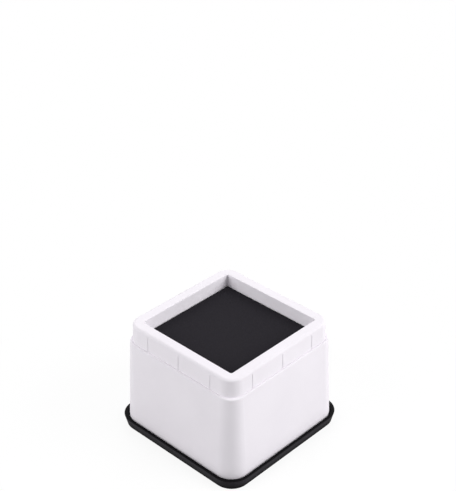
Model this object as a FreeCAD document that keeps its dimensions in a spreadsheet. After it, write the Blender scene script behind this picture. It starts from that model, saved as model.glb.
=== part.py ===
"""Stackable square bed riser: a white moulded shell, a black pad in its leg recess and a black rubber foot.

Millimetres, +Z up, origin on the floor under the middle of the riser. The four sides face +X, -X, +Y and -Y.
"""
import FreeCAD, Part
import os
import Sketcher

# Driving dimensions. Widths run from side to side. Drafts, spreads and gaps count once on each side.
SIZES = {
    # Rim and stacking spigot, the narrower band that the next riser's skirt slips over.
    "rim_width": 98.5,
    "rim_corner": 9.9,
    "rim_rounding": 1.9,
    "rim_thickness": 2.6,
    "rim_face": 7.9,
    "spigot_height": 14.1,
    "spigot_draft": 0.4,
    # Ledge under the spigot and tapered skirt below it.
    "body_height": 80.4,
    "ledge_width": 1.4,
    "ledge_corner": 10.3,
    "ledge_rounding": 1.0,
    "skirt_spread": 3.2,
    "skirt_wall": 2.8,
    "skirt_rounding": 0.6,
    # Leg recess in the top, with the deck that carries the leg.
    "recess_corner": 1.0,
    "recess_depth": 12.1,
    "recess_draft": 0.3,
    "recess_rounding": 0.6,
    "recess_wall": 2.6,
    "deck_thickness": 3.0,
    # Webs under the deck. They stand on the rim of the riser below when two are stacked.
    "web_thickness": 2.0,
    "web_spacing": 36.0,
    "stack_overlap": 1.5,
    # Slim upright ribs on the spigot, which centre the next riser.
    "grip_width": 1.6,
    "grip_rise": 0.25,
    "grip_spacing": 29.3,
    "grip_stop": 2.0,
    "grip_lead": 1.0,
    # Pad on the deck.
    "pad_thickness": 3.0,
    "pad_gap": 0.15,
    # Rubber foot: a tray around the skirt's foot, with a lip that flares out towards its top.
    "foot_gap": 0.2,
    "foot_floor": 5.0,
    "foot_height": 8.0,
    "foot_corner": 13.3,
    "foot_rounding": 0.4,
    "pocket_draft": 1.0,
    "lip_face": 2.05,
    "lip_spread": 2.0,
}
GRIP_PLACES = (-1, 0, 1)
SIDES = 4
FULL_TURN = 360.0
SAME_PLACE = 1e-4
CUBIC_CM = 1000.0

doc = FreeCAD.newDocument("bed_riser")
sheet = doc.addObject("Spreadsheet::Sheet", "Sizes")
for row, (alias, size) in enumerate(SIZES.items(), start=1):
    sheet.set(f"A{row}", alias)
    sheet.set(f"B{row}", str(size))
    sheet.setAlias(f"B{row}", alias)
doc.recompute()


def formula(text):
    """Writes each size's name in a formula as the sheet's cell of that name."""
    words = text.replace("(", "( ").replace(")", " )").split()
    return " ".join(f"Sizes.{word}" if word in SIZES else word for word in words)


def value(text):
    """Works out a formula of sizes as a number of millimetres."""
    return float(sheet.evalExpression(formula(text)))


# Heights over the floor.
TOP = "( foot_floor + body_height )"
LEDGE = f"( {TOP} - spigot_height )"
DECK_TOP = f"( {TOP} - recess_depth )"
DECK_UNDERSIDE = f"( {DECK_TOP} - deck_thickness )"
RIM_UNDERSIDE = f"( {TOP} - rim_thickness )"
WEB_FOOT = "( foot_floor + spigot_height + stack_overlap )"
# Widths and corner radii of the rounded squares that the shell is lofted through.
SPIGOT_WIDTH = "( rim_width + 2 * spigot_draft )"
SPIGOT_CORNER = "( rim_corner + spigot_draft )"
LEDGE_WIDTH = f"( {SPIGOT_WIDTH} + 2 * ledge_width )"
SKIRT_WIDTH = f"( {LEDGE_WIDTH} + 2 * skirt_spread )"
SKIRT_CORNER = "( ledge_corner + skirt_spread )"
RECESS_WIDTH = "( rim_width - 2 * rim_face )"
DECK_WIDTH = f"( {RECESS_WIDTH} - 2 * recess_draft )"
MOUTH_CORNER = "( recess_corner + recess_draft )"
POCKET_WIDTH = f"( {SKIRT_WIDTH} + 2 * foot_gap )"
POCKET_CORNER = f"( {SKIRT_CORNER} + foot_gap )"
TRAY_MOUTH_WIDTH = f"( {POCKET_WIDTH} + 2 * pocket_draft )"
TRAY_MOUTH_CORNER = f"( {POCKET_CORNER} + pocket_draft )"
LIP_WIDTH = f"( {TRAY_MOUTH_WIDTH} + 2 * lip_face )"
LIP_CORNER = "( foot_corner + lip_spread )"
FOOT_WIDTH = f"( {LIP_WIDTH} - 2 * lip_spread )"


def spread_at(height):
    """Formula of how far the skirt stands out past the ledge's edge at a height below it."""
    return f"( skirt_spread * ( {LEDGE} - {height} ) / ( {LEDGE} - foot_floor ) )"


def new_body(label):
    """Adds an empty body for one sub-part."""
    body = doc.addObject("PartDesign::Body", label)
    body.Label = label
    return body


def origin_feature(body, role):
    """Finds one of a body's own origin planes or axes."""
    return next(item for item in body.Origin.OriginFeatures if item.Role == role)


def new_sketch(body, name, plane, distance):
    """Adds a sketch at a distance from one of the body's origin planes, along that plane's normal."""
    sketch = body.newObject("Sketcher::SketchObject", name)
    sketch.AttachmentSupport = [(origin_feature(body, plane), "")]
    sketch.MapMode = "FlatFace"
    sketch.setExpression("AttachmentOffset.Base.z", formula(distance))
    return sketch


def bind(sketch, constraint, name, size):
    """Adds a dimension to a sketch and ties it to a formula of sizes."""
    index = sketch.addConstraint(constraint)
    sketch.renameConstraint(index, name)
    sketch.setExpression(f"Constraints.{name}", formula(size))


def draw_rounded_square(sketch, width, corner, prefix=""):
    """Draws a square with round corners about the sketch's origin, four lines and four arcs."""
    half = value(width) / 2
    radius = value(corner)
    flat = half - radius
    normal = FreeCAD.Vector(0, 0, 1)
    first = sketch.GeometryCount
    ends = [(half, -flat, half, flat), (flat, half, -flat, half)]
    ends += [(-half, flat, -half, -flat), (-flat, -half, flat, -half)]
    centres = [(flat, flat), (-flat, flat), (-flat, -flat), (flat, -flat)]
    quarter = FreeCAD.Units.parseQuantity("90 deg").getValueAs("rad").Value
    for side, (x_start, y_start, x_end, y_end) in enumerate(ends):
        start = FreeCAD.Vector(x_start, y_start, 0)
        end = FreeCAD.Vector(x_end, y_end, 0)
        sketch.addGeometry(Part.LineSegment(start, end))
        circle = Part.Circle(FreeCAD.Vector(*centres[side], 0), normal, radius)
        sketch.addGeometry(Part.ArcOfCircle(circle, side * quarter, (side + 1) * quarter))
    lines = [first + 2 * side for side in range(SIDES)]
    arcs = [line + 1 for line in lines]
    for side in range(SIDES):
        following = lines[(side + 1) % SIDES]
        sketch.addConstraint(Sketcher.Constraint("Tangent", lines[side], 2, arcs[side], 1))
        sketch.addConstraint(Sketcher.Constraint("Tangent", arcs[side], 2, following, 1))
    for upright, level in ((lines[0], lines[1]), (lines[2], lines[3])):
        sketch.addConstraint(Sketcher.Constraint("Vertical", upright))
        sketch.addConstraint(Sketcher.Constraint("Horizontal", level))
    for arc in arcs[1:]:
        sketch.addConstraint(Sketcher.Constraint("Equal", arcs[0], arc))
    # Opposite corners mirrored about the origin hold the square in the middle.
    sketch.addConstraint(Sketcher.Constraint("Symmetric", arcs[0], 3, arcs[2], 3, -1, 1))
    across = Sketcher.Constraint("DistanceX", lines[2], 1, lines[0], 1, 2 * half)
    along = Sketcher.Constraint("DistanceY", lines[3], 1, lines[1], 1, 2 * half)
    bind(sketch, across, f"{prefix}across", width)
    bind(sketch, along, f"{prefix}along", width)
    bind(sketch, Sketcher.Constraint("Radius", arcs[0], radius), f"{prefix}corner", corner)


def rounded_square(body, name, width, corner, level):
    """Adds a level sketch of one rounded square."""
    sketch = new_sketch(body, name, "XY_Plane", level)
    draw_rounded_square(sketch, width, corner)
    return sketch


def loft(body, kind, name, lower, upper):
    """Adds a straight-sided loft, additive or subtractive, between two level sketches."""
    feature = body.newObject(f"PartDesign::{kind}Loft", name)
    feature.Profile = lower
    feature.Sections = [upper]
    feature.Ruled = True
    doc.recompute()
    return feature


def draw_polygon(sketch, corners):
    """Draws a closed outline through corners given as pairs of formulas, each tied to the origin."""
    places = [FreeCAD.Vector(value(across), value(up), 0) for across, up in corners]
    count = len(places)
    for index, place in enumerate(places):
        sketch.addGeometry(Part.LineSegment(place, places[(index + 1) % count]))
    for index, (across, up) in enumerate(corners):
        sketch.addConstraint(Sketcher.Constraint("Coincident", index, 2, (index + 1) % count, 1))
        sideways = Sketcher.Constraint("DistanceX", -1, 1, index, 1, places[index].x)
        upwards = Sketcher.Constraint("DistanceY", -1, 1, index, 1, places[index].y)
        bind(sketch, sideways, f"across_{index}", across)
        bind(sketch, upwards, f"up_{index}", up)


def ring_edges(shape, level, least, most):
    """Names the edges of one closed outline: level edges whose reach lies between two half widths."""
    names = []
    for index, edge in enumerate(shape.Edges, start=1):
        box = edge.BoundBox
        reach = max(abs(box.XMin), abs(box.XMax), abs(box.YMin), abs(box.YMax))
        is_level = abs(box.ZMin - level) < SAME_PLACE and abs(box.ZMax - level) < SAME_PLACE
        if is_level and least < reach < most:
            names.append(f"Edge{index}")
    return names


def round_ring(body, base, name, level, width, radius):
    """Rounds the outline of a given width at a given level."""
    half = value(width) / 2
    near = value(radius)
    edges = ring_edges(base.Shape, value(level), half - near, half + near)
    feature = body.newObject("PartDesign::Fillet", name)
    feature.Base = (base, edges)
    feature.setExpression("Radius", formula(radius))
    doc.recompute()
    return feature


def turned_copies(body, originals, name):
    """Repeats features on all four sides."""
    pattern = body.newObject("PartDesign::PolarPattern", name)
    pattern.Originals = originals
    pattern.Axis = (origin_feature(body, "Z_Axis"), [""])
    pattern.Angle = FULL_TURN
    pattern.Occurrences = SIDES
    body.Tip = pattern
    doc.recompute()
    return pattern


def add_outside(body):
    """Tapered skirt, then the narrower spigot on it, which leaves the ledge between them."""
    skirt_foot = rounded_square(body, "skirt_foot", SKIRT_WIDTH, SKIRT_CORNER, "foot_floor")
    skirt_top = rounded_square(body, "skirt_top", LEDGE_WIDTH, "ledge_corner", LEDGE)
    loft(body, "Additive", "skirt", skirt_foot, skirt_top)
    spigot_foot = rounded_square(body, "spigot_foot", SPIGOT_WIDTH, SPIGOT_CORNER, LEDGE)
    rim = rounded_square(body, "rim", "rim_width", "rim_corner", TOP)
    return loft(body, "Additive", "spigot", spigot_foot, rim)


def cut_recess(body):
    """Square leg recess in the top, slightly narrower at the deck."""
    deck = rounded_square(body, "deck_outline", DECK_WIDTH, "recess_corner", DECK_TOP)
    mouth = rounded_square(body, "recess_mouth", RECESS_WIDTH, MOUTH_CORNER, TOP)
    return loft(body, "Subtractive", "leg_recess", deck, mouth)


def cut_hollow(body):
    """Hollow of even wall under the deck, and the slot that cores out the rim beside the recess."""
    foot_width = f"( {SKIRT_WIDTH} - 2 * skirt_wall )"
    foot_corner = f"( {SKIRT_CORNER} - skirt_wall )"
    roof_inset = f"( {spread_at(DECK_UNDERSIDE)} - skirt_wall )"
    roof_width = f"( {LEDGE_WIDTH} + 2 * {roof_inset} )"
    roof_corner = f"( ledge_corner + {roof_inset} )"
    foot = rounded_square(body, "hollow_foot", foot_width, foot_corner, "foot_floor")
    roof = rounded_square(body, "hollow_roof", roof_width, roof_corner, DECK_UNDERSIDE)
    loft(body, "Subtractive", "hollow", foot, roof)
    slot_sketch = new_sketch(body, "rim_slot_outline", "XY_Plane", DECK_UNDERSIDE)
    slot_width = "( rim_width - 2 * skirt_wall )"
    draw_rounded_square(slot_sketch, slot_width, "( rim_corner - skirt_wall )", "outer_")
    wall_width = f"( {RECESS_WIDTH} + 2 * recess_wall )"
    draw_rounded_square(slot_sketch, wall_width, f"( {MOUTH_CORNER} + recess_wall )", "inner_")
    slot = body.newObject("PartDesign::Pocket", "rim_slot")
    slot.Profile = slot_sketch
    slot.Reversed = True
    slot.setExpression("Length", formula(f"{RIM_UNDERSIDE} - {DECK_UNDERSIDE}"))
    doc.recompute()
    return slot


def add_webs(body):
    """Webs crossing under the deck, let into the skirt's wall by half its thickness."""
    sketch = new_sketch(body, "web_outline", "XZ_Plane", "web_spacing / 2")
    foot_reach = f"( {LEDGE_WIDTH} / 2 + {spread_at(WEB_FOOT)} - skirt_wall / 2 )"
    roof_reach = f"( {LEDGE_WIDTH} / 2 + {spread_at(DECK_UNDERSIDE)} - skirt_wall / 2 )"
    corners = [(f"( 0 - {foot_reach} )", WEB_FOOT), (foot_reach, WEB_FOOT)]
    corners += [(roof_reach, DECK_UNDERSIDE), (f"( 0 - {roof_reach} )", DECK_UNDERSIDE)]
    draw_polygon(sketch, corners)
    web = body.newObject("PartDesign::Pad", "web")
    web.Profile = sketch
    web.Midplane = True
    web.setExpression("Length", formula("web_thickness"))
    doc.recompute()
    return turned_copies(body, [web], "webs")


def add_grips(body):
    """Three slim ribs on each side of the spigot, even in height, with a sloped lead-in at the top."""
    root = "( rim_width / 2 - grip_rise )"
    foot_face = f"( {SPIGOT_WIDTH} / 2 + grip_rise )"
    head_face = "( rim_width / 2 + spigot_draft * ( grip_stop + grip_lead ) / spigot_height + grip_rise )"
    head = f"( {TOP} - grip_stop )"
    shoulder = f"( {head} - grip_lead )"
    corners = [(root, LEDGE), (foot_face, LEDGE), (head_face, shoulder)]
    corners += [("( rim_width / 2 )", head), (root, head)]
    ribs = []
    for number, place in enumerate(GRIP_PLACES, start=1):
        sketch = new_sketch(body, f"grip_outline_{number}", "XZ_Plane", f"{place} * grip_spacing")
        draw_polygon(sketch, corners)
        rib = body.newObject("PartDesign::Pad", f"grip_{number}")
        rib.Profile = sketch
        rib.Midplane = True
        rib.setExpression("Length", formula("grip_width"))
        doc.recompute()
        ribs.append(rib)
    return turned_copies(body, ribs, "grips")


def build_riser_body():
    """White moulded shell in one piece."""
    body = new_body("riser_body")
    add_outside(body)
    tip = cut_recess(body)
    tip = round_ring(body, tip, "rim_edge", TOP, "rim_width", "rim_rounding")
    tip = round_ring(body, tip, "recess_edge", TOP, RECESS_WIDTH, "recess_rounding")
    tip = round_ring(body, tip, "ledge_edge", LEDGE, LEDGE_WIDTH, "ledge_rounding")
    round_ring(body, tip, "skirt_edge", "foot_floor", SKIRT_WIDTH, "skirt_rounding")
    cut_hollow(body)
    add_webs(body)
    add_grips(body)
    return body


def build_top_pad():
    """Flat pad that lies on the deck and fills the bottom of the recess."""
    body = new_body("top_pad")
    width = f"( {DECK_WIDTH} - 2 * pad_gap )"
    sketch = rounded_square(body, "pad_outline", width, "recess_corner", DECK_TOP)
    pad = body.newObject("PartDesign::Pad", "pad")
    pad.Profile = sketch
    pad.setExpression("Length", formula("pad_thickness"))
    doc.recompute()
    return body


def build_rubber_foot():
    """Tray that the skirt stands in. Its sides lean out to a flat lip."""
    body = new_body("rubber_foot")
    sole = rounded_square(body, "sole", FOOT_WIDTH, "foot_corner", "0")
    lip = rounded_square(body, "lip", LIP_WIDTH, LIP_CORNER, "foot_height")
    loft(body, "Additive", "tray", sole, lip)
    floor = rounded_square(body, "tray_floor", POCKET_WIDTH, POCKET_CORNER, "foot_floor")
    mouth = rounded_square(body, "tray_mouth", TRAY_MOUTH_WIDTH, TRAY_MOUTH_CORNER, "foot_height")
    tip = loft(body, "Subtractive", "pocket", floor, mouth)
    tip = round_ring(body, tip, "lip_edge", "foot_height", LIP_WIDTH, "foot_rounding")
    round_ring(body, tip, "sole_edge", "0", FOOT_WIDTH, "foot_rounding")
    return body


def check(parts):
    """Stops if a feature failed or a sub-part isn't one valid solid."""
    doc.recompute()
    for item in doc.Objects:
        if "Invalid" in item.State or "Error" in item.State:
            raise RuntimeError(f"{item.Label} failed: {item.State}")
    for part in parts:
        if part.Shape.isNull() or not part.Shape.isValid() or len(part.Shape.Solids) != 1:
            raise RuntimeError(f"{part.Label} is not one valid solid")


parts = [build_riser_body(), build_top_pad(), build_rubber_foot()]
check(parts)
os.makedirs("parts", exist_ok=True)
for part in parts:
    part.Shape.exportStep(f"parts/{part.Label}.step")
    box = part.Shape.BoundBox
    size = f"{box.XLength:.2f} x {box.YLength:.2f} x {box.ZLength:.2f} mm"
    print(f"{part.Label}: {size}, {part.Shape.Volume / CUBIC_CM:.2f} cm3, {len(part.Shape.Faces)} faces")
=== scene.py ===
"""Looks of a square stackable bed riser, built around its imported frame.

The white moulded shell and the black rubber foot are the frame's own solids, each with a finish of its own.
The foam pad at the bottom of the leg recess is modelled here, in the space that its plain solid holds.
Everything is in metres.
"""

import logging
import math
from abc import ABC, abstractmethod
from collections.abc import Callable
from dataclasses import dataclass, field
from enum import Enum
from functools import cached_property
from typing import NamedTuple

import bpy
from mathutils import Matrix, Vector


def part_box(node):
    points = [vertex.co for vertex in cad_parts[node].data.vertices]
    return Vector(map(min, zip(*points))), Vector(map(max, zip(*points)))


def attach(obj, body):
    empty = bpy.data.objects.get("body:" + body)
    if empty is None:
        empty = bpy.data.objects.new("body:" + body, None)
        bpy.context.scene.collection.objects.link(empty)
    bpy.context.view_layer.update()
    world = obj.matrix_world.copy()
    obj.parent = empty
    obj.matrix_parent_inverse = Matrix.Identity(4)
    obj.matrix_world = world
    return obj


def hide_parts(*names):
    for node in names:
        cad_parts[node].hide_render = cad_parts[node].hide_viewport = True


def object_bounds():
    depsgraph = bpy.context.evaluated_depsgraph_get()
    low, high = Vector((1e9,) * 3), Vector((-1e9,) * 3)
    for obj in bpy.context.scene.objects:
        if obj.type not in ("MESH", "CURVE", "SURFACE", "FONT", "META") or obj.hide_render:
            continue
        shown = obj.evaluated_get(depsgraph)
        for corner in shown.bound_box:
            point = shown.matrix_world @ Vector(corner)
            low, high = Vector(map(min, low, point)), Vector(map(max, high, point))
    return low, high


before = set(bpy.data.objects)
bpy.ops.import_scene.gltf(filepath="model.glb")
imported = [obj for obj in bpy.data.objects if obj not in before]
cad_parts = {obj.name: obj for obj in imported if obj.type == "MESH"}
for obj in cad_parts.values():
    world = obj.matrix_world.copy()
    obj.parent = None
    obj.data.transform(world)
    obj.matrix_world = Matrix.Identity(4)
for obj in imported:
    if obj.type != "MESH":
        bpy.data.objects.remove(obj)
CAD_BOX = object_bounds()

Colour = tuple[float, float, float]
Span = tuple[float, float]
Socket = bpy.types.NodeSocket

LOG = logging.getLogger("bed_riser")
BODY = "root"

# Metres within which two heights count as one.
CLOSE = 1e-6

# Elevation in degrees from which a camera looks before it is turned.
OVERHEAD = 90.0

# Ranges of a grey value, from its dark end to its light one and back.
RISING: Span = (0.0, 1.0)
FALLING: Span = (1.0, 0.0)

# Plain values of shader inputs.
RAMP_END = 1.0
OPAQUE = 1.0
WHITE = (1.0, 1.0, 1.0, OPAQUE)
SHOWN_WHITE = 1.0
MATT = 1.0
NO_GLOSS = 0.0


class Node(Enum):
    """Solids of the frame, by the names that they were packed under."""

    SHELL = "riser_body"
    PAD = "top_pad"
    FOOT = "rubber_foot"


class Part(Enum):
    """Parts of a mesh that can be picked."""

    EDGE = "EDGE"
    FACE = "FACE"


class Grain(Enum):
    """Kinds of pattern, each with its node type and the name of its grey output."""

    SPARKED = ("ShaderNodeTexNoise", "Fac")
    FOAMED = ("ShaderNodeTexVoronoi", "Distance")


class Join(Enum):
    """Ways to make one value of two."""

    PRODUCT = "MULTIPLY"
    LARGER = "MAXIMUM"


@dataclass(frozen=True)
class Pattern:
    """Pattern of a real size on a surface, and the relief that it raises there.

    Attributes:
        size: Width of one patch or cell in metres.
        octaves: Octaves of finer pattern on top.
        depth: Height of its relief in metres.
        strength: Share of that relief that shows.
        grain: Kind of pattern.
    """

    size: float
    octaves: float = 0.0
    depth: float = 0.0
    strength: float = 0.0
    grain: Grain = Grain.SPARKED


class Stop(NamedTuple):
    """One colour of a finish, and its place along the greys of the pattern that spreads it."""

    place: float
    colour: Colour


class Board:
    """Lays out the shader nodes of a material or of the surroundings."""

    def __init__(self, owner: bpy.types.Material | bpy.types.World) -> None:
        """Opens the nodes of a new material or world.

        Args:
            owner: The material or world.
        """
        owner.use_nodes = True
        self.tree = owner.node_tree

    @cached_property
    def coordinates(self) -> bpy.types.ShaderNode:
        """Node that gives the surface's place and facing, added when it is first asked for."""
        return self.add("ShaderNodeTexCoord")

    def add(self, kind: str, **inputs: object) -> bpy.types.ShaderNode:
        """Adds a node and fills its inputs.

        Args:
            kind: Blender's name of the node type.
            inputs: What each input gets, as fill takes it.

        Returns:
            The new node.
        """
        node = self.tree.nodes.new(kind)
        self.fill(node, **inputs)
        return node

    def fill(self, node: bpy.types.ShaderNode, **inputs: object) -> None:
        """Fills inputs of a node.

        Args:
            node: The node.
            inputs: Value of each input, or the output that feeds it, with underscores for the spaces in
                its name.
        """
        for name, value in inputs.items():
            self.feed(node.inputs[name.replace("_", " ")], value)

    def feed(self, socket: Socket, value: object) -> None:
        """Sets an input to a value, or links an output to it.

        Args:
            socket: The input.
            value: A plain value or an output socket.
        """
        if isinstance(value, Socket):
            self.tree.links.new(value, socket)
        else:
            socket.default_value = value

    def surface(self, **inputs: object) -> None:
        """Fills inputs of the material's surface shader, as fill does."""
        self.fill(self.tree.nodes["Principled BSDF"], **inputs)

    def grey(self, pattern: Pattern) -> Socket:
        """Adds a pattern on the object's own coordinates.

        Args:
            pattern: Its kind and sizes.

        Returns:
            The pattern's grey output.
        """
        kind, output = pattern.grain.value
        place = self.coordinates.outputs["Object"]
        node = self.add(kind, Vector=place, Scale=1.0 / pattern.size, Detail=pattern.octaves)
        return node.outputs[output]

    def upward(self) -> Socket:
        """Adds how far the surface faces up: 1 on a level top, 0 on an upright wall."""
        return self.add("ShaderNodeSeparateXYZ", Vector=self.coordinates.outputs["Normal"]).outputs["Z"]

    def height(self) -> Socket:
        """Adds the height of the surface over the floor in metres."""
        return self.add("ShaderNodeSeparateXYZ", Vector=self.coordinates.outputs["Object"]).outputs["Z"]

    def joined(self, way: Join, one: Socket, other: Socket) -> Socket:
        """Makes one value of two.

        Args:
            way: How they are joined.
            one: First value.
            other: Second value.

        Returns:
            The joined value.
        """
        node = self.add("ShaderNodeMath")
        node.operation = way.value
        for socket, value in zip(node.inputs, (one, other)):
            self.feed(socket, value)
        return node.outputs["Value"]

    def spread(self, value: Socket, ends: Span, span: Span = RISING) -> Socket:
        """Maps a stretch of values onto a range, and holds the ends of the range beyond it.

        Args:
            value: What is mapped.
            ends: What comes out at the two ends of the stretch.
            span: The values at these two ends.

        Returns:
            The mapped value.
        """
        names = ("From_Min", "From_Max", "To_Min", "To_Max")
        node = self.add("ShaderNodeMapRange", Value=value, **dict(zip(names, span + ends)))
        return node.outputs["Result"]

    def blend(self, grey: Socket, *stops: Stop) -> Socket:
        """Turns a grey pattern into colours.

        Args:
            grey: Pattern between 0 and 1.
            stops: The colours in the order of their places.

        Returns:
            The colour output.
        """
        ramp = self.add("ShaderNodeValToRGB", Fac=grey)
        elements = ramp.color_ramp.elements
        while len(elements) < len(stops):
            elements.new(RAMP_END)
        for element, stop in zip(elements, stops):
            element.position = stop.place
            element.color = (*stop.colour, OPAQUE)
        return ramp.outputs["Color"]

    def relief(self, pattern: Pattern, grey: Socket, over: Socket | None = None) -> Socket:
        """Raises a pattern as fine relief.

        Args:
            pattern: The pattern's sizes.
            grey: Its grey output, whose light parts stand up.
            over: Normal of coarser relief under this one, if any.

        Returns:
            The normal output.
        """
        bump = self.add("ShaderNodeBump", Height=grey, Distance=pattern.depth, Strength=pattern.strength)
        if over is not None:
            self.fill(bump, Normal=over)
        return bump.outputs["Normal"]

    def mix(self, share: Socket, one: Socket, other: Socket) -> Socket:
        """Mixes two shaders.

        Args:
            share: How much of the second shows.
            one: First shader.
            other: Second shader.

        Returns:
            The mixed shader.
        """
        node = self.add("ShaderNodeMixShader", Fac=share)
        for socket, shader in zip(node.inputs[1:], (one, other)):
            self.feed(socket, shader)
        return node.outputs["Shader"]

    def seen_directly(self) -> Socket:
        """Tells what the camera sees, straight or in a gloss, from what only lights the scene.

        Returns:
            Output that is 1 for rays of the first kind and 0 for the rest.
        """
        path = self.add("ShaderNodeLightPath").outputs
        gloss = self.joined(Join.LARGER, path["Is Glossy Ray"], path["Is Transmission Ray"])
        return self.joined(Join.LARGER, path["Is Camera Ray"], gloss)


class Finish(ABC):
    """What a piece is made of, and how its surface looks."""

    @abstractmethod
    def material(self) -> bpy.types.Material:
        """Builds the material."""


@dataclass(frozen=True)
class ShellFinish(Finish):
    """White plastic from a spark-eroded mould: a dull satin, with a grain too fine to see from afar.

    Attributes:
        deep: Colour of the darker drifts.
        pale: Colour of the lighter drifts.
        drift: The slow drifts of colour.
        swell: The slow waviness of a moulded wall.
        grain: The mould's grain.
        gloss: Least and greatest roughness.
        ior: Index of refraction of the plastic.
        specular: Level of its mirror-like reflection: 0.5 is what the index of refraction gives.
    """

    deep: Stop = Stop(0.35, (0.816, 0.783, 0.832))
    pale: Stop = Stop(0.65, (0.836, 0.803, 0.852))
    drift: Pattern = Pattern(size=0.030, octaves=3.0)
    swell: Pattern = Pattern(size=0.018, depth=0.0002, strength=0.12)
    grain: Pattern = Pattern(size=0.0005, octaves=2.0, depth=0.00006, strength=0.25)
    gloss: Span = (0.64, 0.74)
    ior: float = 1.46
    specular: float = 0.30

    def material(self) -> bpy.types.Material:
        """Builds the shell's material.

        Returns:
            The material.
        """
        material = bpy.data.materials.new("white_moulded_plastic")
        board = Board(material)
        grain = board.grey(self.grain)
        waves = board.relief(self.swell, board.grey(self.swell))
        board.surface(
            Base_Color=board.blend(board.grey(self.drift), self.deep, self.pale),
            Roughness=board.spread(grain, self.gloss),
            Normal=board.relief(self.grain, grain, over=waves),
            IOR=self.ior,
            Specular_IOR_Level=self.specular,
        )
        return material


@dataclass(frozen=True)
class PadFinish(Finish):
    """Charcoal closed-cell foam: matt, with small open cells on its skin and a darker cut edge that is
    partly painted shade of the gap round the pad.

    Attributes:
        slot: Slot of the record that the finish belongs to; not used.
        cut: Colour of the cut edge, where it is partly painted shade of the gap round the pad, and of the
            deepest pores.
        hollow: Colour inside the open cells.
        skin: Colour of the skin between the cells.
        skin_from: How far the surface faces up where the skin sets in and the dark edge, partly painted
            shade, ends: 0 is the side, 1 the top.
        cells: The open cells.
        bruise: The slow unevenness of the sheet.
        roughness: Roughness all over.
        specular: Level of its mirror-like reflection: 0.5 is what the index of refraction gives.
    """

    slot: str = "leg_pad"
    cut: Stop = Stop(0.02, (0.0050, 0.0046, 0.0056))
    hollow: Stop = Stop(0.10, (0.0175, 0.0161, 0.0197))
    skin: Stop = Stop(0.55, (0.0225, 0.0208, 0.0252))
    skin_from: float = 0.5
    cells: Pattern = Pattern(size=0.0007, depth=0.00015, strength=0.5, grain=Grain.FOAMED)
    bruise: Pattern = Pattern(size=0.012, octaves=3.0, depth=0.0003, strength=0.3)
    roughness: float = 0.88
    specular: float = 0.03

    def material(self) -> bpy.types.Material:
        """Builds the pad's material.

        Returns:
            The material.
        """
        material = bpy.data.materials.new("charcoal_foam")
        board = Board(material)
        cells = board.grey(self.cells)
        uneven = board.relief(self.bruise, board.grey(self.bruise))
        # The sides and rounded upper edge fall to the darkest colour: partly the open cells of a cut edge,
        # partly painted shade of the gap between the pad and the shell.
        top = board.spread(board.upward(), RISING, span=(self.skin_from, 1.0))
        cells_and_edge_shade = board.joined(Join.PRODUCT, cells, top)
        board.surface(
            Base_Color=board.blend(cells_and_edge_shade, self.cut, self.hollow, self.skin),
            Roughness=self.roughness,
            Specular_IOR_Level=self.specular,
            Normal=board.relief(self.cells, cells, over=uneven),
        )
        return material


@dataclass(frozen=True)
class RubberFinish(Finish):
    """Black moulded rubber: a dull pebbled skin, scuffed to a greyer tone round the outside of its lip; its
    top and lowest edge stay black as painted shade.

    Attributes:
        black: Colour of the untouched rubber, kept on top of the lip and along its lowest edge, where it is
            also painted shade.
        scuffed: Colour of the scuffed outside.
        scuffs: The scuffed patches.
        floor_shade_rise: Heights in metres between which the painted shade at the floor gives way to the
            scuffs.
        pebbles: The pebbled skin.
        gloss: Least and greatest roughness.
        specular: Level of its mirror-like reflection: 0.5 is what the index of refraction gives.
    """

    black: Stop = Stop(0.10, (0.0040, 0.0037, 0.0044))
    scuffed: Stop = Stop(0.50, (0.0240, 0.0221, 0.0266))
    scuffs: Pattern = Pattern(size=0.010, octaves=4.0)
    floor_shade_rise: Span = (0.0005, 0.0055)
    pebbles: Pattern = Pattern(size=0.0008, octaves=1.0, depth=0.00010, strength=0.35)
    gloss: Span = (0.55, 0.70)
    specular: float = 0.04

    def material(self) -> bpy.types.Material:
        """Builds the foot's material.

        Returns:
            The material.
        """
        material = bpy.data.materials.new("black_moulded_rubber")
        board = Board(material)
        patches = board.grey(self.scuffs)
        # The black stays on the lip's top as painted shade under the shell and low down as painted shade at
        # the floor; the scuffed grey shows on the upright outside between them.
        outside = board.spread(board.upward(), FALLING)
        clear_of_floor_shade = board.spread(board.height(), RISING, span=self.floor_shade_rise)
        clear_of_shade = board.joined(Join.PRODUCT, outside, clear_of_floor_shade)
        board.surface(
            Base_Color=board.blend(board.joined(Join.PRODUCT, patches, clear_of_shade), self.black, self.scuffed),
            Roughness=board.spread(patches, self.gloss),
            Normal=board.relief(self.pebbles, board.grey(self.pebbles)),
            Specular_IOR_Level=self.specular,
        )
        return material


def dress(piece: bpy.types.Object, material: bpy.types.Material) -> None:
    """Puts one material on every slot of a piece.

    Args:
        piece: The piece, new or a solid of the frame.
        material: What it is made of.
    """
    if not piece.data.materials:
        piece.data.materials.append(material)
    for place in piece.material_slots:
        place.material = material


def pick(part: Part, wanted: Callable[[list[Vector]], bool]) -> None:
    """Selects the edges or faces of the mesh in edit mode that pass a test.

    Args:
        part: What is picked.
        wanted: Test of the places of an edge's or a face's vertices.
    """
    mesh = bpy.context.edit_object.data
    bpy.ops.mesh.select_mode(type=part.value)
    bpy.ops.mesh.select_all(action="DESELECT")
    bpy.ops.object.mode_set(mode="OBJECT")
    for item in mesh.edges if part is Part.EDGE else mesh.polygons:
        item.select = wanted([mesh.vertices[index].co for index in item.vertices])
    bpy.ops.object.mode_set(mode="EDIT")


def level_at(height: float) -> Callable[[list[Vector]], bool]:
    """Gives a test for pick that passes what lies level at a height."""
    return lambda points: all(abs(point.z - height) < CLOSE for point in points)


def turned(degrees: float, axis: str) -> Matrix:
    """Gives a turn about an axis as a 4 by 4 matrix."""
    return Matrix.Rotation(math.radians(degrees), 4, axis)


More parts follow.
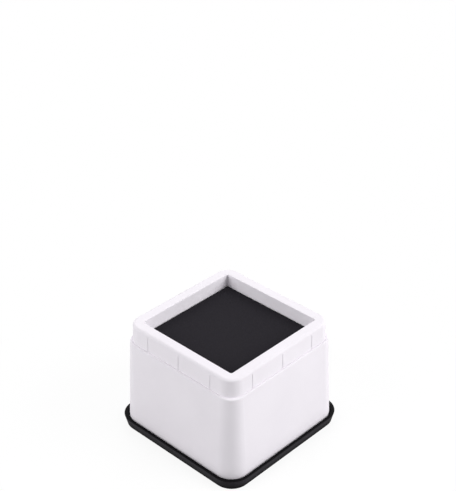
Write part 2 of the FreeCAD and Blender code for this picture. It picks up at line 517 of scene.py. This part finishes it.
@dataclass
class FrameSolid:
    """A piece that is the frame's own solid, with a finish of its own.

    Attributes:
        node: The solid.
        finish: What it is moulded in.
    """

    node: Node
    finish: Finish

    def build(self) -> bpy.types.Object:
        """Dresses the solid.

        Returns:
            The solid.
        """
        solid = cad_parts[self.node.value]
        dress(solid, self.finish.material())
        return solid


@dataclass
class RiserShell(FrameSolid):
    """White shell with its skirt, ledge, ribbed spigot and leg recess."""

    node: Node = Node.SHELL
    finish: Finish = field(default_factory=ShellFinish)


@dataclass
class RubberFoot(FrameSolid):
    """Black tray with a flared lip that the shell stands in."""

    node: Node = Node.FOOT
    finish: Finish = field(default_factory=RubberFinish)


@dataclass
class LegPad:
    """Foam pad that lies on the deck, cut from sheet with a soft upper edge.

    Attributes:
        finish: The foam's finish.
        corner: Radius of its upright corners in metres.
        corner_facets: Facets round each of these corners.
        edge: Radius of its upper edge in metres.
        edge_facets: Facets over that edge.
        crown: How much higher the middle stands than the edge, in metres.
        crown_power: How level the crown's middle is: 2 makes an even dome, and more a flatter one.
        rings: Places of the rings of its upper face, as shares of the way from the middle to the edge.
        smooth_below: Angle in degrees up to which facets are shaded as one surface.
        fill: How full the foam is, from 0 to 1; not used.
    """

    finish: PadFinish = field(default_factory=PadFinish)
    corner: float = 0.0013
    corner_facets: int = 6
    edge: float = 0.0012
    edge_facets: int = 5
    crown: float = 0.0002
    crown_power: int = 4
    rings: tuple[float, ...] = (0.94, 0.86, 0.72, 0.54, 0.30)
    smooth_below: float = 40.0
    fill: float = 1.0

    def build(self) -> bpy.types.Object:
        """Models the pad, dresses it and sets it in the place of its solid.

        Returns:
            The pad.
        """
        low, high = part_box(Node.PAD.value)
        shoulder = Vector((high.x, high.y, high.z - self.crown))
        pad = self.slab(low, shoulder)
        self.round_edges(shoulder.z)
        self.raise_crown(shoulder.z)
        bpy.ops.object.mode_set(mode="OBJECT")
        bpy.ops.object.shade_smooth_by_angle(angle=math.radians(self.smooth_below))
        dress(pad, self.finish.material())
        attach(pad, BODY)
        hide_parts(Node.PAD.value)
        return pad

    def slab(self, low: Vector, high: Vector) -> bpy.types.Object:
        """Adds the plain slab of foam and opens it for editing.

        Args:
            low: Lowest corner of the slab.
            high: Highest corner of the slab.

        Returns:
            The slab's object.
        """
        bpy.ops.object.select_all(action="DESELECT")
        bpy.ops.mesh.primitive_cube_add(size=1.0, location=(low + high) / 2)
        pad = bpy.context.active_object
        pad.name = "foam_leg_pad"
        pad.scale = high - low
        bpy.ops.object.transform_apply(location=True, rotation=True, scale=True)
        bpy.ops.object.mode_set(mode="EDIT")
        return pad

    def round_edges(self, top: float) -> None:
        """Rounds the four upright corners, then the edge round the upper face.

        Args:
            top: Height of the upper face in metres.
        """
        pick(Part.EDGE, lambda points: abs(points[0].z - points[1].z) > CLOSE)
        bpy.ops.mesh.bevel(offset=self.corner, segments=self.corner_facets, affect="EDGES")
        pick(Part.EDGE, level_at(top))
        bpy.ops.mesh.bevel(offset=self.edge, segments=self.edge_facets, affect="EDGES")

    def raise_crown(self, top: float) -> None:
        """Draws the upper face in, ring by ring, while it rises towards its middle.

        Args:
            top: Height of the upper face in metres.
        """
        pick(Part.FACE, level_at(top))
        outer = 1.0
        for ring in self.rings:
            rise = self.crown * (outer ** self.crown_power - ring ** self.crown_power)
            bpy.ops.mesh.extrude_region_move(TRANSFORM_OT_translate={"value": (0.0, 0.0, rise)})
            bpy.ops.transform.resize(value=(ring / outer, ring / outer, 1.0))
            outer = ring


@dataclass(frozen=True)
class SoftBox:
    """One square soft lamp, aimed at the middle of the riser.

    Attributes:
        name: Where it stands.
        azimuth: Bearing of the lamp in degrees: 0 is towards -Y, 90 towards +X.
        watts: Power.
        elevation: Degrees above the floor.
        distance: Metres from the middle of the riser.
        size: Side of the lamp in metres.
    """

    name: str
    azimuth: float
    watts: float
    elevation: float = 30.0
    distance: float = 1.8
    size: float = 1.4

    def build(self, middle: Vector) -> bpy.types.Object:
        """Sets up the lamp.

        Args:
            middle: Point that it is aimed at.

        Returns:
            The lamp.
        """
        bearing, height = math.radians(self.azimuth), math.radians(self.elevation)
        level = math.cos(height)
        away = Vector((math.sin(bearing) * level, -math.cos(bearing) * level, math.sin(height)))
        lamp = bpy.data.lights.new(f"lamp_{self.name}", "AREA")
        lamp.size = self.size
        lamp.energy = self.watts
        holder = bpy.data.objects.new(lamp.name, lamp)
        holder.location = middle + away * self.distance
        holder.rotation_euler = away.to_track_quat("Z", "Y").to_euler()
        bpy.context.scene.collection.objects.link(holder)
        return holder


@dataclass
class Studio:
    """Plain white floor and surroundings with soft lamps.

    Attributes:
        lamps: The soft lamps.
        floor_size: Side of the floor in metres.
        floor_colour: Colour that the floor throws back.
        floor_shade: Share of the object's shadow that the picture keeps on the floor.
        shade_reach: Metres from the middle of the floor at which the shadow starts to fade and ends.
        ambient: Strength of the surroundings' light.
    """

    lamps: tuple[SoftBox, ...] = (
        SoftBox("right", azimuth=121.0, watts=33.2),
        SoftBox("left", azimuth=-24.0, watts=23.5),
        SoftBox("back", azimuth=224.0, watts=14.5),
    )
    floor_size: float = 6.0
    floor_colour: Colour = (0.5, 0.5, 0.5)
    floor_shade: float = 0.12
    shade_reach: Span = (0.06, 0.20)
    ambient: float = 0.2

    def build(self) -> None:
        """Sets up the floor, the surroundings and the lamps."""
        low, high = CAD_BOX
        self.lay_floor(low.z)
        self.surround()
        for lamp in self.lamps:
            lamp.build((low + high) / 2)

    def lay_floor(self, level: float) -> None:
        """Lays the floor.

        Args:
            level: Height of the floor in metres.
        """
        bpy.ops.object.select_all(action="DESELECT")
        bpy.ops.mesh.primitive_plane_add(size=self.floor_size, location=(0.0, 0.0, level))
        floor = bpy.context.active_object
        floor.name = "studio_floor"
        dress(floor, self.floor_material())

    def floor_material(self) -> bpy.types.Material:
        """Builds the floor's material, which shows white and keeps a trace of the shadow.

        Returns:
            The material.
        """
        material = bpy.data.materials.new("pale_floor")
        board = Board(material)
        board.surface(
            Base_Color=(*self.floor_colour, OPAQUE), Roughness=MATT, Specular_IOR_Level=NO_GLOSS)
        away = board.add("ShaderNodeVectorMath")
        away.operation = "LENGTH"
        board.feed(away.inputs[0], board.coordinates.outputs["Object"])
        white = board.spread(
            away.outputs["Value"], (1.0 - self.floor_shade, 1.0), span=self.shade_reach)
        shaded = board.add("ShaderNodeBsdfDiffuse", Color=WHITE)
        glow = board.add("ShaderNodeEmission", Color=WHITE, Strength=SHOWN_WHITE)
        shown = board.mix(white, shaded.outputs["BSDF"], glow.outputs["Emission"])
        plain = board.tree.nodes["Principled BSDF"]
        laid = board.mix(board.seen_directly(), plain.outputs["BSDF"], shown)
        board.fill(board.tree.nodes["Material Output"], Surface=laid)
        return material

    def surround(self) -> None:
        """Makes the surroundings white to the camera and a soft even light to the object."""
        world = bpy.data.worlds.new("white_surroundings")
        bpy.context.scene.world = world
        board = Board(world)
        strength = board.spread(board.seen_directly(), (self.ambient, SHOWN_WHITE))
        board.fill(board.tree.nodes["Background"], Color=WHITE, Strength=strength)


@dataclass(frozen=True)
class PhotoCamera:
    """Camera at the photograph's place, angle and framing.

    Attributes:
        frame_px: Width and height of the picture in pixels.
        focal_px: Focal length in pixels.
        sensor_mm: Sensor size along the picture's longer side.
        azimuth: Bearing of the camera in degrees: 0 is towards -Y, 90 towards +X.
        elevation: Degrees above the floor.
        roll: Degrees that the camera leans.
        pivot: Height of the point on the riser's axis that the rest is measured from, in metres.
        distance: Metres from the pivot back along the line of sight.
        slide: Metres that the camera then moves to its right and up, to frame the riser low down.
    """

    frame_px: tuple[int, int] = (456, 491)
    focal_px: float = 1206.4
    sensor_mm: float = 36.0
    azimuth: float = 43.933
    elevation: float = 31.432
    roll: float = -0.251
    pivot: float = 0.040
    distance: float = 0.84383
    slide: tuple[float, float] = (-0.00104, 0.08988)

    def build(self) -> bpy.types.Object:
        """Sets up the camera and makes it the scene's own.

        Returns:
            The camera.
        """
        aim = turned(self.azimuth, "Z") @ turned(OVERHEAD - self.elevation, "X") @ turned(self.roll, "Z")
        pivot = Matrix.Translation((0.0, 0.0, self.pivot))
        place = Matrix.Translation((*self.slide, self.distance))
        lens = bpy.data.cameras.new("photo_camera")
        lens.sensor_width = self.sensor_mm
        lens.lens = self.focal_px * self.sensor_mm / max(self.frame_px)
        camera = bpy.data.objects.new("photo_camera", lens)
        camera.matrix_world = pivot @ aim @ place
        bpy.context.scene.collection.objects.link(camera)
        bpy.context.scene.camera = camera
        return camera


def main() -> None:
    """Builds the riser piece by piece, then the studio and the camera."""
    logging.basicConfig(level=logging.INFO)
    bpy.context.scene.view_settings.view_transform = "Standard"
    for sub_assembly in (RiserShell(), LegPad(), RubberFoot()):
        piece = sub_assembly.build()
        LOG.info("%s: %d faces", piece.name, len(piece.data.polygons))
    Studio().build()
    PhotoCamera().build()


if __name__ == "__main__":
    main()
